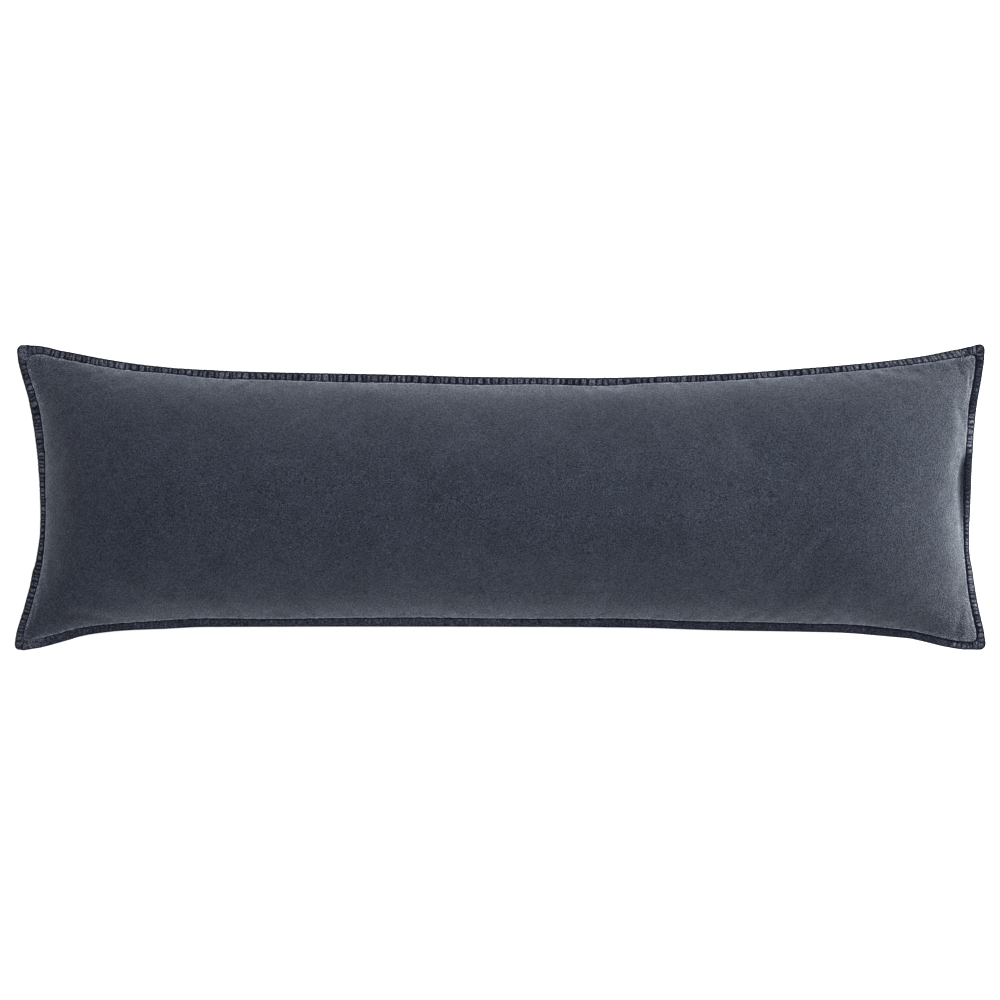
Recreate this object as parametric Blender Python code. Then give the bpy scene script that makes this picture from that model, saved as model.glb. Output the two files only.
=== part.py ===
"""A long lumbar pillow in washed cotton velvet, lying on its back on a flat surface.

One stuffed body, and the flat trim that is sewn into its seam: a puckered strip on three sides
and a plain edge on the closing side. Metres, with +X along the pillow, +Y across it and +Z up.
"""

import math
import random
from collections import namedtuple

import bmesh
import bpy
from mathutils import Vector, noise

MM = 0.001

# Overall sizes of the stuffed pillow
FILLED_HEIGHT = 172 * MM
BELLY_PRESS = 11 * MM      # how far the belly would hang below the surface it is pressed flat on
PRESS_ROUND = 4 * MM       # height over which the pressed patch rounds into the belly
SEAM_WALL = 3.0 * MM       # height of the sewn rim between front and back panel

# How the panels rise from the seam: 1 - x ** FULLNESS, raised to ROUNDNESS
FULLNESS = 2.2
ROUNDNESS = 0.62
END_RUN = 175 * MM         # length over which the two ends rise to the full height
END_FADE = 0.07            # share of the height that the filling loses from the middle to the ends
EAR_REACH = 46 * MM        # how far the thin corners reach in
EAR_LOSS = 0.45            # share of the height that the corners lose

# Unevenness of the filling
LUMP_HEIGHT = 2.2 * MM
LUMP_SIZE = 115 * MM
PUCKER_HEIGHT = 0.9 * MM
PUCKER_PITCH = 34 * MM
PUCKER_REACH = 24 * MM
PUCKER_WANDER = 2.0        # how far, in radians, the waves run ahead and fall behind
PUCKER_DRIFTS = 8.0        # how often they do so along a side

# Grid of each panel, closer together near the seams
COLUMNS = 56
ROWS = 20
COLUMN_CROWDING = 0.62
ROW_CROWDING = 0.42
BODY_EDGE = 50             # degrees between faces from which an edge of the body counts as sharp
TRIM_EDGE = 15             # the same for the trim, so that its ribs read as ribs
SHARE_SLACK = 0.0005       # share of a side below which two places count as one
NORMAL_STEP = 0.002        # share of a side over which its direction is taken

# Trim: a folded strip of velvet
TRIM_WIDTH = 9.5 * MM      # at the corners
TRIM_THICK = 2.4 * MM      # at a groove
TRIM_PINCH = 0.8           # share of the thickness left at the sewn and the folded edge
RIDGE_PLACE = 0.52         # share of the width at which the ribs stand highest
RIB_HEIGHT = 1.2 * MM
RIB_AT_EDGE = 0.25         # share of a rib's height left at the sewn and the folded edge
RIB_PITCH = 8.5 * MM
RIB_UNEVEN = 0.34          # share by which the distance between ribs varies
SHORTEST_RIB = 0.3         # share of the pitch below which a strip's last rib is left out
SIDE_RIBS = (0.6, 1.0)     # lowest and highest rib along the sides, as shares of RIB_HEIGHT
CORNER_RIBS = (0.4, 0.8)   # the same round the right-hand corners
END_RIBS = (0.3, 0.6)      # the same over the left strip's ends
GAP = 0.3 * MM
CORNER_GAP = 0.45 * MM
CORNER_STEPS = 8
CORNER_SQUARENESS = 3.4    # 2 would be a round corner, a large number a sharp one
FAR_END_ROUNDING = 0.85    # radius of the left strip's rounded ends, as a share of its width
NEAR_END_ROUNDING = 0.6
END_STEPS = 5
LONG_STRIP_END = 0.968     # share of the closing side where the long strip gives way to the plain edge

# Corners of the sewn outline, in millimetres: place on the surface and height of the seam
Corner = namedtuple("Corner", "x y height")
NEAR_LEFT = Corner(-622.0, -188.8, 66.0)
NEAR_RIGHT = Corner(621.7, -189.0, 69.0)
FAR_RIGHT = Corner(620.5, 188.7, 70.0)
FAR_LEFT = Corner(-619.2, 188.3, 67.0)

# Each side of the outline, from one corner to the next. share: how far along the side.
# draw_in: how far the filling pulls the trim in from the straight line between the corners, in mm.
# lift: how far the seam stands above that line, in mm. turn: how far the trim droops, in degrees.
Station = namedtuple("Station", "share draw_in lift turn")
FAR_SIDE = (
    Station(0.000, 0.0, 0.0, 8.0),
    Station(0.018, 1.2, 1.5, 8.0),
    Station(0.032, 5.8, 2.8, 9.0),
    Station(0.045, 8.8, 4.0, 10.0),
    Station(0.086, 18.6, 7.5, 12.0),
    Station(0.127, 26.1, 10.0, 12.0),
    Station(0.170, 31.0, 12.0, 11.0),
    Station(0.230, 34.6, 13.5, 10.0),
    Station(0.400, 39.1, 14.5, 9.0),
    Station(0.480, 42.0, 14.0, 8.0),
    Station(0.535, 42.4, 14.2, 8.0),
    Station(0.600, 43.4, 14.4, 8.0),
    Station(0.640, 42.3, 14.5, 8.0),
    Station(0.727, 38.3, 14.0, 9.0),
    Station(0.810, 31.6, 12.5, 10.0),
    Station(0.892, 22.8, 9.0, 11.0),
    Station(0.934, 16.5, 6.0, 11.0),
    Station(0.957, 11.7, 4.2, 10.0),
    Station(0.972, 7.6, 2.6, 9.0),
    Station(0.986, 4.6, 1.2, 8.0),
    Station(1.000, 0.0, 0.0, 8.0),
)
NEAR_SIDE = (
    Station(0.000, 0.0, 0.0, 6.0),
    Station(0.009, 0.7, 0.7, 6.0),
    Station(0.037, 9.0, 3.5, 10.0),
    Station(0.068, 19.4, 6.0, 14.0),
    Station(0.110, 25.3, 9.0, 16.0),
    Station(0.150, 27.3, 10.4, 17.0),
    Station(0.190, 29.7, 11.5, 18.0),
    Station(0.377, 30.3, 13.0, 18.0),
    Station(0.542, 30.0, 13.5, 18.0),
    Station(0.644, 28.8, 13.0, 18.0),
    Station(0.727, 25.6, 12.5, 18.0),
    Station(0.850, 22.7, 10.0, 16.0),
    Station(0.912, 16.8, 7.0, 14.0),
    Station(0.929, 14.8, 5.6, 12.0),
    Station(0.952, 8.3, 3.5, 10.0),
    Station(0.969, 3.4, 1.9, 8.5),
    Station(0.986, 0.1, 0.8, 7.0),
    Station(1.000, 0.0, 0.0, 6.0),
)
LEFT_END = (
    Station(0.000, 0.0, 0.0, 6.0),
    Station(0.045, 3.5, 1.5, 8.0),
    Station(0.098, 10.1, 4.0, 10.0),
    Station(0.203, 20.3, 9.0, 12.0),
    Station(0.307, 29.3, 13.0, 13.0),
    Station(0.412, 33.3, 15.0, 14.0),
    Station(0.517, 32.2, 15.5, 14.0),
    Station(0.622, 29.4, 14.5, 13.0),
    Station(0.727, 24.3, 12.5, 12.0),
    Station(0.832, 17.2, 8.5, 10.0),
    Station(0.872, 12.3, 6.4, 9.5),
    Station(0.900, 9.8, 4.8, 9.0),
    Station(0.937, 5.2, 2.5, 8.0),
    Station(1.000, 0.0, 0.0, 8.0),
)
RIGHT_END = (
    Station(0.000, 0.0, 0.0, 6.0),
    Station(0.072, 5.2, 3.0, 9.0),
    Station(0.125, 9.9, 5.3, 11.0),
    Station(0.177, 13.4, 7.5, 14.0),
    Station(0.282, 19.5, 11.5, 26.0),
    Station(0.337, 22.1, 13.0, 32.0),
    Station(0.386, 21.6, 14.0, 38.0),
    Station(0.491, 19.7, 14.5, 40.0),
    Station(0.596, 18.1, 14.0, 28.0),
    Station(0.701, 15.5, 12.0, 16.0),
    Station(0.806, 11.6, 8.5, 12.0),
    Station(0.860, 8.1, 6.0, 10.0),
    Station(0.910, 4.4, 3.5, 9.0),
    Station(1.000, 0.0, 0.0, 8.0),
)

# How wide each side's trim looks from straight above. share: how far along the side. width: in mm.
TrimPlace = namedtuple("TrimPlace", "share width")
FAR_TRIM = (
    TrimPlace(0.000, 9.5),
    TrimPlace(0.030, 10.6),
    TrimPlace(0.100, 10.4),
    TrimPlace(0.155, 8.2),
    TrimPlace(0.200, 10.9),
    TrimPlace(0.260, 10.2),
    TrimPlace(0.345, 11.6),
    TrimPlace(0.400, 10.6),
    TrimPlace(0.480, 10.6),
    TrimPlace(0.540, 9.2),
    TrimPlace(0.610, 10.7),
    TrimPlace(0.655, 8.2),
    TrimPlace(0.700, 9.1),
    TrimPlace(0.860, 9.2),
    TrimPlace(0.935, 9.1),
    TrimPlace(0.970, 10.4),
    TrimPlace(1.000, 9.5),
)
NEAR_TRIM = (
    TrimPlace(0.000, 9.5),
    TrimPlace(0.015, 11.8),
    TrimPlace(0.040, 11.8),
    TrimPlace(0.100, 9.9),
    TrimPlace(0.170, 11.5),
    TrimPlace(0.220, 11.2),
    TrimPlace(0.260, 10.2),
    TrimPlace(0.340, 11.5),
    TrimPlace(0.420, 12.1),
    TrimPlace(0.530, 10.6),
    TrimPlace(0.630, 12.0),
    TrimPlace(0.690, 10.8),
    TrimPlace(0.760, 11.7),
    TrimPlace(0.830, 10.9),
    TrimPlace(0.865, 11.8),
    TrimPlace(0.940, 10.4),
    TrimPlace(0.980, 10.6),
    TrimPlace(1.000, 9.5),
)
LEFT_TRIM = (
    TrimPlace(0.000, 9.5),
    TrimPlace(0.170, 9.6),
    TrimPlace(0.230, 11.1),
    TrimPlace(0.290, 8.8),
    TrimPlace(0.370, 7.2),
    TrimPlace(0.550, 7.6),
    TrimPlace(0.620, 10.2),
    TrimPlace(0.720, 11.3),
    TrimPlace(0.800, 11.8),
    TrimPlace(0.900, 9.9),
    TrimPlace(1.000, 9.5),
)
RIGHT_TRIM = (
    TrimPlace(0.000, 9.5),
    TrimPlace(0.050, 10.4),
    TrimPlace(0.170, 10.4),
    TrimPlace(0.230, 9.4),
    TrimPlace(0.290, 7.7),
    TrimPlace(0.380, 7.8),
    TrimPlace(0.450, 9.3),
    TrimPlace(0.530, 9.9),
    TrimPlace(0.640, 10.0),
    TrimPlace(0.720, 9.3),
    TrimPlace(0.800, 11.0),
    TrimPlace(0.900, 10.6),
    TrimPlace(1.000, 9.5),
)

# The soft crease in the front panel, beside the right end's seam. share: how far up the end.
# inside: how far the crease lies from the seam, in mm. depth: how deep it is, in mm.
CreasePoint = namedtuple("CreasePoint", "share inside depth")
RIGHT_CREASE = (
    CreasePoint(0.30, 9.0, 0.0),
    CreasePoint(0.44, 9.5, 2.4),
    CreasePoint(0.56, 10.5, 3.6),
    CreasePoint(0.68, 10.0, 3.4),
    CreasePoint(0.79, 7.0, 2.0),
    CreasePoint(0.88, 5.0, 0.0),
)
CREASE_REACH = 9 * MM


def curve_value(rows, column, share):
    """The smooth value of a table's column at a share, by a cubic through its rows."""
    shares = [row.share for row in rows]
    values = [getattr(row, column) for row in rows]
    if share <= shares[0]:
        return values[0]
    if share >= shares[-1]:
        return values[-1]
    slopes = [0.0] * len(rows)
    for i in range(1, len(rows) - 1):
        before = (values[i] - values[i - 1]) / (shares[i] - shares[i - 1])
        after = (values[i + 1] - values[i]) / (shares[i + 1] - shares[i])
        if before * after > 0:
            slopes[i] = 2 * before * after / (before + after)
    i = max(k for k in range(len(rows) - 1) if shares[k] <= share)
    step = shares[i + 1] - shares[i]
    t = (share - shares[i]) / step
    rest = 1 - t
    return (
        values[i] * rest * rest * (1 + 2 * t)
        + values[i + 1] * t * t * (1 + 2 * rest)
        + slopes[i] * step * t * rest * rest
        - slopes[i + 1] * step * t * t * rest
    )


def crowded(place, crowding):
    """A grid place from -1 to 1 as a share from 0 to 1, closer together towards both seams."""
    moved = place * (1 - crowding) + crowding * math.sin(place * math.pi / 2)
    return (moved + 1) / 2


def grid_shares(count, crowding):
    """The shares of a side at the lines of the panel's grid."""
    return [crowded(2 * line / count - 1, crowding) for line in range(count + 1)]


class Side:
    """One side of the sewn outline, from its first corner to its second."""

    def __init__(self, first, second, stations, trims, outward, lines):
        self.first = Vector(first) * MM
        self.second = Vector(second) * MM
        self.stations = stations
        self.trims = trims
        self.outward = Vector(outward)
        self.lines = lines

    def trim(self, share):
        """How wide the trim looks from straight above."""
        return curve_value(self.trims, "width", share) * MM

    def seam(self, share):
        """The point of the seam at a share of the side."""
        point = self.first.lerp(self.second, share)
        draw_in = curve_value(self.stations, "draw_in", share) * MM
        point -= self.outward * (draw_in + self.trim(share) - TRIM_WIDTH)
        point.z += curve_value(self.stations, "lift", share) * MM
        return point

    def rim(self, share):
        """The point at a share on the straight runs between the panel's grid lines."""
        after = next(line for line in self.lines[1:] if share <= line + SHARE_SLACK)
        before = self.lines[self.lines.index(after) - 1]
        return self.seam(before).lerp(self.seam(after), (share - before) / (after - before))

    def normal(self, share):
        """The level direction that points away from the pillow."""
        along = self.seam(min(share + NORMAL_STEP, 1)) - self.seam(max(share - NORMAL_STEP, 0))
        across = Vector((along.y, -along.x, 0)).normalized()
        return across if across.dot(self.outward) > 0 else -across

    def turn(self, share):
        return math.radians(curve_value(self.stations, "turn", share))

    def length(self):
        return (self.second - self.first).length


COLUMN_SHARES = grid_shares(COLUMNS, COLUMN_CROWDING)
ROW_SHARES = grid_shares(ROWS, ROW_CROWDING)
FAR = Side(FAR_LEFT, FAR_RIGHT, FAR_SIDE, FAR_TRIM, (0, 1, 0), COLUMN_SHARES)
NEAR = Side(NEAR_LEFT, NEAR_RIGHT, NEAR_SIDE, NEAR_TRIM, (0, -1, 0), COLUMN_SHARES)
LEFT = Side(NEAR_LEFT, FAR_LEFT, LEFT_END, LEFT_TRIM, (-1, 0, 0), ROW_SHARES)
RIGHT = Side(NEAR_RIGHT, FAR_RIGHT, RIGHT_END, RIGHT_TRIM, (1, 0, 0), ROW_SHARES)


def seam_sheet(across, up):
    """The point of the sheet that the four seams span, at shares from 0 to 1."""
    long_way = NEAR.seam(across).lerp(FAR.seam(across), up)
    short_way = LEFT.seam(up).lerp(RIGHT.seam(up), across)
    near = NEAR.first.lerp(NEAR.second, across)
    far = FAR.first.lerp(FAR.second, across)
    return long_way + short_way - near.lerp(far, up)


def rise(share):
    """How far a panel has risen, from 0 at the seam to 1 in the middle."""
    return (1 - abs(1 - share) ** FULLNESS) ** ROUNDNESS


def filling(across, up):
    """The height of the filling as a share of its largest, and the distances to the seams."""
    from_end = min(across, 1 - across) * NEAR.length()
    from_side = min(up, 1 - up) * LEFT.length()
    share = rise(2 * min(up, 1 - up)) * rise(min(from_end / END_RUN, 1))
    share *= 1 - END_FADE * (2 * across - 1) ** 2
    ear = math.exp(-(from_end**2 + from_side**2) / (2 * EAR_REACH**2))
    return share * (1 - EAR_LOSS * ear), from_end, from_side


def lumps(point):
    """The gentle unevenness of the filling."""
    return LUMP_HEIGHT * noise.noise(point / LUMP_SIZE)


def pucker_wave(share, length):
    """One row of small waves along a side, unevenly spaced."""
    wander = PUCKER_WANDER * math.sin(PUCKER_DRIFTS * share)
    return math.sin(math.tau * share * length / PUCKER_PITCH + wander)


def puckers(across, up, from_end, from_side):
    """The small waves that the sewing pulls into the panels beside the seams."""
    along = pucker_wave(across, NEAR.length()) * math.exp(-from_side / PUCKER_REACH)
    along *= 1 - math.exp(-from_end / PUCKER_REACH)
    upright = pucker_wave(up, LEFT.length()) * math.exp(-from_end / PUCKER_REACH)
    upright *= 1 - math.exp(-from_side / PUCKER_REACH)
    return PUCKER_HEIGHT * (along + upright)


def crease(across, up):
    """The trough in the front panel beside the right end's seam."""
    depth = curve_value(RIGHT_CREASE, "depth", up) * MM
    inside = curve_value(RIGHT_CREASE, "inside", up) * MM
    away = (1 - across) * NEAR.length() - inside
    return depth * math.exp(-((away / CREASE_REACH) ** 2))


def pressed(height):
    """The height of the belly, flat at 0 where it is pressed on the surface it lies on."""
    if height >= PRESS_ROUND:
        return height
    if height <= -PRESS_ROUND:
        return 0.0
    return (height + PRESS_ROUND) ** 2 / (4 * PRESS_ROUND)


def panel_point(across, up, front):
    """A point of the front or the back panel."""
    point = seam_sheet(across, up)
    share, from_end, from_side = filling(across, up)
    middle = seam_sheet(0.5, 0.5).z
    uneven = share * lumps(point) + share * puckers(across, up, from_end, from_side)
    if front:
        crown = FILLED_HEIGHT - middle - SEAM_WALL / 2
        point.z += SEAM_WALL / 2 + crown * share + uneven - share * crease(across, up)
    else:
        belly = middle + BELLY_PRESS - SEAM_WALL / 2
        point.z = pressed(point.z - SEAM_WALL / 2 - belly * share - uneven)
    return point


def velvet(name, colour, roughness):
    """A plain velvet finish."""
    material = bpy.data.materials.new(name)
    material.use_nodes = True
    shader = material.node_tree.nodes["Principled BSDF"]
    shader.inputs["Base Color"].default_value = (*colour, 1)
    shader.inputs["Roughness"].default_value = roughness
    shader.inputs["Metallic"].default_value = 0.0
    return material


def add_object(name, mesh, material, sharp_edge):
    """Puts a closed mesh into the scene under its node's name, smooth up to an angle in degrees."""
    bmesh.ops.recalc_face_normals(mesh, faces=mesh.faces)
    data = bpy.data.meshes.new(name)
    mesh.to_mesh(data)
    mesh.free()
    data.materials.append(material)
    data.shade_smooth()
    data.set_sharp_from_angle(angle=math.radians(sharp_edge))
    thing = bpy.data.objects.new(name, data)
    bpy.context.collection.objects.link(thing)
    return thing


def stuffed_body(material):
    """Front and back panel with their filling: a flat grid, extruded and swollen."""
    mesh = bmesh.new()
    bmesh.ops.create_grid(mesh, x_segments=COLUMNS, y_segments=ROWS, size=1)
    back = mesh.verts[:]
    raised = bmesh.ops.extrude_face_region(mesh, geom=mesh.faces[:] + mesh.edges[:], use_keep_orig=True)
    front = [item for item in raised["geom"] if isinstance(item, bmesh.types.BMVert)]
    for verts, is_front in ((back, False), (front, True)):
        for vert in verts:
            across = crowded(vert.co.x, COLUMN_CROWDING)
            up = crowded(vert.co.y, ROW_CROWDING)
            vert.co = panel_point(across, up, is_front)
    return add_object("pillow_body", mesh, material, BODY_EDGE)


# One station of a strip: its sewn edge, the level direction out, its width as seen from straight
# above, its droop and its rib height
Place = namedtuple("Place", "inner outward width turn rib")


def strip_ring(place):
    """The six corners of the strip's cross-section, round from the sewn edge.

    The drooping section is set out far enough that its lower corner clears the seam, and is as
    long as it takes for its upper corner to reach the width.
    """
    out = place.outward * math.cos(place.turn) - Vector((0, 0, math.sin(place.turn)))
    up = Vector((0, 0, math.cos(place.turn))) + place.outward * math.sin(place.turn)
    edge = TRIM_THICK * TRIM_PINCH / 2 + place.rib * RIB_AT_EDGE
    ridge = TRIM_THICK / 2 + place.rib
    length = (place.width - 2 * edge * abs(math.sin(place.turn))) / math.cos(place.turn)
    top = ((0, edge), (length * RIDGE_PLACE, ridge), (length, edge))
    profile = [*top, *((reach, -high) for reach, high in reversed(top))]
    sewn = place.inner + place.outward * edge * abs(math.sin(place.turn))
    return [sewn + out * reach + up * high for reach, high in profile]


def move_face(face, place):
    """Carries a strip's end face to a place."""
    for vert, point in zip(face.verts, strip_ring(place)):
        vert.co = point


def swept_strip(name, places, material):
    """A strip made by extruding its first cross-section from place to place."""
    mesh = bmesh.new()
    start = mesh.faces.new([mesh.verts.new(point) for point in strip_ring(places[0])])
    grown = bmesh.ops.extrude_face_region(mesh, geom=[start, *start.edges], use_keep_orig=True)
    end = next(item for item in grown["geom"] if isinstance(item, bmesh.types.BMFace))
    move_face(end, places[1])
    for place in places[2:]:
        end = bmesh.ops.extrude_discrete_faces(mesh, faces=[end])["faces"][0]
        move_face(end, place)
    return add_object(name, mesh, material, TRIM_EDGE)


def rib_shares(side, chance, start=0.0, end=1.0):
    """Shares of a side at ridge, groove, ridge and so on, unevenly spaced."""
    shares = []
    share = start
    while share < end - SHORTEST_RIB * RIB_PITCH / side.length():
        shares.append(share)
        pitch = RIB_PITCH * (1 + RIB_UNEVEN * chance.uniform(-1, 1))
        share += pitch / 2 / side.length()
    return [*shares, end]


def side_places(side, shares, chance):
    """Places along a side, with every second one raised to a rib."""
    places = []
    for number, share in enumerate(shares):
        outward = side.normal(share)
        rib = RIB_HEIGHT * chance.uniform(*SIDE_RIBS) if number % 2 else 0.0
        inner = side.rim(share) + outward * GAP
        places.append(Place(inner, outward, side.trim(share), side.turn(share), rib))
    return places


def corner_places(corner, before, after, chance):
    """Places round a corner, from the last place of one side to the first of the next."""
    places = []
    for step in range(1, CORNER_STEPS):
        angle = math.pi / 2 * step / CORNER_STEPS
        outward = (before.outward * math.cos(angle) + after.outward * math.sin(angle)).normalized()
        squareness = math.cos(angle) ** CORNER_SQUARENESS + math.sin(angle) ** CORNER_SQUARENESS
        width = TRIM_WIDTH * squareness ** (-1 / CORNER_SQUARENESS)
        turn = before.turn + (after.turn - before.turn) * step / CORNER_STEPS
        rib = RIB_HEIGHT * chance.uniform(*CORNER_RIBS) if step % 2 else 0.0
        places.append(Place(corner + outward * CORNER_GAP, outward, width, turn, rib))
    return places


def long_strip(material):
    """The puckered strip of the far side and the right end, round both right-hand corners."""
    chance = random.Random(11)
    far = side_places(FAR, rib_shares(FAR, chance), chance)
    right = side_places(RIGHT, rib_shares(RIGHT, chance)[::-1], chance)
    near = side_places(NEAR, rib_shares(NEAR, chance, LONG_STRIP_END)[::-1], chance)
    places = [
        *far,
        *corner_places(FAR.second, far[-1], right[0], chance),
        *right,
        *corner_places(NEAR.second, right[-1], near[0], chance),
        *near,
    ]
    return swept_strip("trim_long_strip", places, material)


def corner_square(place, beyond, rounding, chance):
    """Places that carry a strip straight on past a corner, to a rounded end."""
    places = []
    radius = rounding * TRIM_WIDTH
    for step in range(1, END_STEPS + 1):
        reach = math.sin(math.pi / 2 * step / END_STEPS)
        into_round = max(radius - (1 - reach) * TRIM_WIDTH, 0)
        width = TRIM_WIDTH - radius + math.sqrt(radius**2 - into_round**2)
        rib = 0.0 if step % 2 else RIB_HEIGHT * chance.uniform(*END_RIBS)
        inner = place.inner + beyond * (GAP + TRIM_WIDTH) * reach
        places.append(Place(inner, place.outward, width, place.turn, rib))
    return places


def left_strip(material):
    """The puckered strip of the left end, which runs straight on over both left-hand corners."""
    chance = random.Random(23)
    side = side_places(LEFT, rib_shares(LEFT, chance), chance)
    first = side[0]._replace(outward=LEFT.outward, inner=LEFT.first + LEFT.outward * GAP)
    last = side[-1]._replace(outward=LEFT.outward, inner=LEFT.second + LEFT.outward * GAP)
    down = corner_square(first, Vector((0, -1, 0)), NEAR_END_ROUNDING, chance)
    up = corner_square(last, Vector((0, 1, 0)), FAR_END_ROUNDING, chance)
    return swept_strip("trim_left_strip", [*down[::-1], first, *side[1:-1], last, *up], material)


def closing_side(material):
    """The plain edge of the closing side, between the two puckered strips."""
    places = []
    end = LONG_STRIP_END - GAP / NEAR.length()
    for share in [*(share for share in COLUMN_SHARES if share < end - SHARE_SLACK), end]:
        outward = NEAR.normal(share)
        inner = NEAR.rim(share) + outward * GAP
        places.append(Place(inner, outward, NEAR.trim(share), NEAR.turn(share), 0.0))
    return swept_strip("trim_closing_side", places, material)


def centre_on_origin(things):
    """Moves all the meshes so that the whole pillow's box stands centred on the origin."""
    points = [vert.co for thing in things for vert in thing.data.vertices]
    low = [min(point[axis] for point in points) for axis in range(3)]
    high = [max(point[axis] for point in points) for axis in range(3)]
    shift = Vector((-(low[0] + high[0]) / 2, -(low[1] + high[1]) / 2, 0))
    for point in points:
        point += shift


def main():
    for thing in list(bpy.data.objects):
        bpy.data.objects.remove(thing, do_unlink=True)
    panel_velvet = velvet("panel_velvet", (0.052, 0.060, 0.082), 0.9)
    trim_velvet = velvet("trim_velvet", (0.040, 0.047, 0.066), 0.92)
    things = [
        stuffed_body(panel_velvet),
        long_strip(trim_velvet),
        left_strip(trim_velvet),
        closing_side(trim_velvet),
    ]
    centre_on_origin(things)


main()
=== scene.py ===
"""The look of a long lumbar pillow in washed velvet, lying on its back under soft studio light."""
import math
import random
from collections import namedtuple
from functools import partial

import bpy
import numpy as np
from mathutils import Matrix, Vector, kdtree, noise


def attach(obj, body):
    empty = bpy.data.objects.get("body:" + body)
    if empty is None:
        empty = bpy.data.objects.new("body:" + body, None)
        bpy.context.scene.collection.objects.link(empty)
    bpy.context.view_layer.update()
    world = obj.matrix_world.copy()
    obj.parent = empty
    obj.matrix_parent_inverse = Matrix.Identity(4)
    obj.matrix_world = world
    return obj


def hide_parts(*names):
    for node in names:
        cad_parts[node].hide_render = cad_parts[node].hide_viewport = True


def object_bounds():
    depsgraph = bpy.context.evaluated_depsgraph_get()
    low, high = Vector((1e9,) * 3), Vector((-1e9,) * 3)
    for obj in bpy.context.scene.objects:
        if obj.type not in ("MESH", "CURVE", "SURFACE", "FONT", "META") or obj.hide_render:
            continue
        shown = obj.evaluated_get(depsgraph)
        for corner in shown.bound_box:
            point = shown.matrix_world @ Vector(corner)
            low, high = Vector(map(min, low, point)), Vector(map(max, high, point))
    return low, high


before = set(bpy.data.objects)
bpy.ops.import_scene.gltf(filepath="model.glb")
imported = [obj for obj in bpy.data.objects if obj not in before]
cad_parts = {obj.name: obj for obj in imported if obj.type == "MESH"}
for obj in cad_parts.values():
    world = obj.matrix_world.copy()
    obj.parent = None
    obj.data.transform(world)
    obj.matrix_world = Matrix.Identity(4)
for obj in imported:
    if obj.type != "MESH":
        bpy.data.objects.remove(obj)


def rows_of(kind, *rows):
    """A table's rows, each as one named tuple of a kind."""
    return [kind(*row) for row in rows]


def column(rows, field):
    """One field of all rows of a table."""
    return np.array([getattr(row, field) for row in rows])


MM = 0.001
CAD_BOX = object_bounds()
CAD_STRIPS = ("trim_long_strip", "trim_left_strip", "trim_closing_side")

# The stuffed cover
SEAM_WALL = 3.0 * MM          # height of the sewn rim between front and back panel
COVER_LEVELS = 2              # subdivisions of the solid's quads
SLACK_START = 0.985           # share of the fullness that the cover starts to swell from
SWELL_FRAMES = 20
SWELL_CAP = 4 * MM            # the furthest that the cover may move while it swells
# The velvet while it swells. A shrink_min below 0 makes it larger than the shape that it has to fit.
SWELL_CLOTH = dict(
    quality=6, mass=0.3, tension_stiffness=20, compression_stiffness=20, shear_stiffness=8,
    bending_stiffness=1.5, use_pressure=True, uniform_pressure_force=4.0, shrink_min=-0.005,
)
RIM_PAINTED_HIGHLIGHT = 0.4                # painted highlight: how pale the panels are made beside the seam
RIM_FLECKS = (0.35, 1.5)      # least and most of it, where the sewing gathers the cloth
FLECK_PITCH = 5.2 * MM
FLECK_LIMITS = (-0.8, 0.9)    # the noise at which the least and the most of it shows
RIM_BAND_START = (0.4, 1.4)   # over how far from the seam the pale band begins, and ends, in mm
RIM_BAND_END = (1.6, 5.0)
RIM_PAINTED_SHEEN = 0.75               # painted sheen: how much brighter the nap is made beside the seam, where it is bent
RIM_SHEEN_REACH = 5.8 * MM
LEFT_PAINTED_SHEEN = 1.7               # share of that brightness at the left end
RIGHT_PAINTED_SHEEN = 0.3              # the same at the right end
END_SHEEN_REACH = (55, 35)     # how far from an end its share starts, and is full, in mm
TIP_SHEEN_REACH = 28 * MM      # how near to the two left corners it fades out
FINE_REACH = 20 * MM          # how far from the seam the cover gets a finer mesh
GATHER_HEIGHT = 1.3 * MM      # small puckers that the sewing pulls into the panels
GATHER_PITCH = 8.5 * MM
GATHER_REACH = 6 * MM
GATHER_START = (0.8, 3.0)     # over how far from the seam the puckers begin, in mm
SEAM_WANDER = 0.55 * MM       # how far the panels' edge wanders in and out
SEAM_WANDER_SIZE = 9 * MM
END_ZONE = 40 * MM            # how near to an end that edge wanders along X too
SIDE_PULL = 0.01              # share of it elsewhere
NOISE_GAIN = 1.6              # brings the noise along the rim to about -1 to 1
PRESSED_BELOW = 0.4 * MM      # what lies lower than this on the solid stays flat on the floor
HELD_RIM = 0.7 * SEAM_WALL    # what lies nearer to the rim than this doesn't swell

# Where the sewing has drawn the tips of the panels in from the trim. side: signs of the corner
# along X and Y. along, across: how far the tip lies inside the solid's, in mm. reach: in mm.
Tuck = namedtuple("Tuck", "side along across reach")
TUCKS = rows_of(
    Tuck,
    ((-1, 1), 2.6, 4.6, 15.0),
    ((-1, 1), 1.6, 3.4, 5.0),
    ((1, 1), 2.4, 3.4, 26.0),
    ((1, -1), 1.4, 1.0, 14.0),
    ((1, -1), 1.6, 1.0, 4.5),
    ((-1, -1), 0.8, 0.8, 12.0),
)
# Where the panels are painted paler towards a corner, as painted light. side: as above. wear: how pale.
# reach: in mm.
CornerPaintedLight = namedtuple("CornerPaintedLight", "side wear reach")
CORNER_PAINTED_LIGHT = rows_of(
    CornerPaintedLight,
    ((-1, 1), 0.15, 75.0),
    ((1, 1), 0.15, 60.0),
    ((1, -1), 0.225, 55.0),
    ((-1, -1), 0.06, 50.0),
)
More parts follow.
